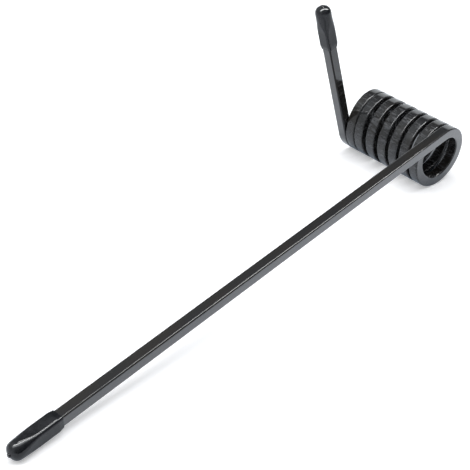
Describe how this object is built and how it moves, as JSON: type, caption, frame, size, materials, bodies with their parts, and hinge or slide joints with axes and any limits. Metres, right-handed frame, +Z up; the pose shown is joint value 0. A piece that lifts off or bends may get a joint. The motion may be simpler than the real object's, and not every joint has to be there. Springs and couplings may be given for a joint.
{
  "type": "torsion spring",
  "caption": "Heavy right-hand torsion spring wound from square bar, with a long and a short straight leg that end in moulded caps.",
  "frame": {"origin": "middle of the coil's bore", "axes": "+Y along the coil's axis towards the short leg's end, +Z up, the long leg reaches along -X"},
  "size_m": [0.5093, 0.1467, 0.1516],
  "materials": {
    "paint": "gloss",
    "vinyl": "gloss"
  },
  "bodies": {
    "root": {"spring": "paint", "long_leg_cap": "vinyl", "short_leg_cap": "vinyl"}
  },
  "joints": []
}
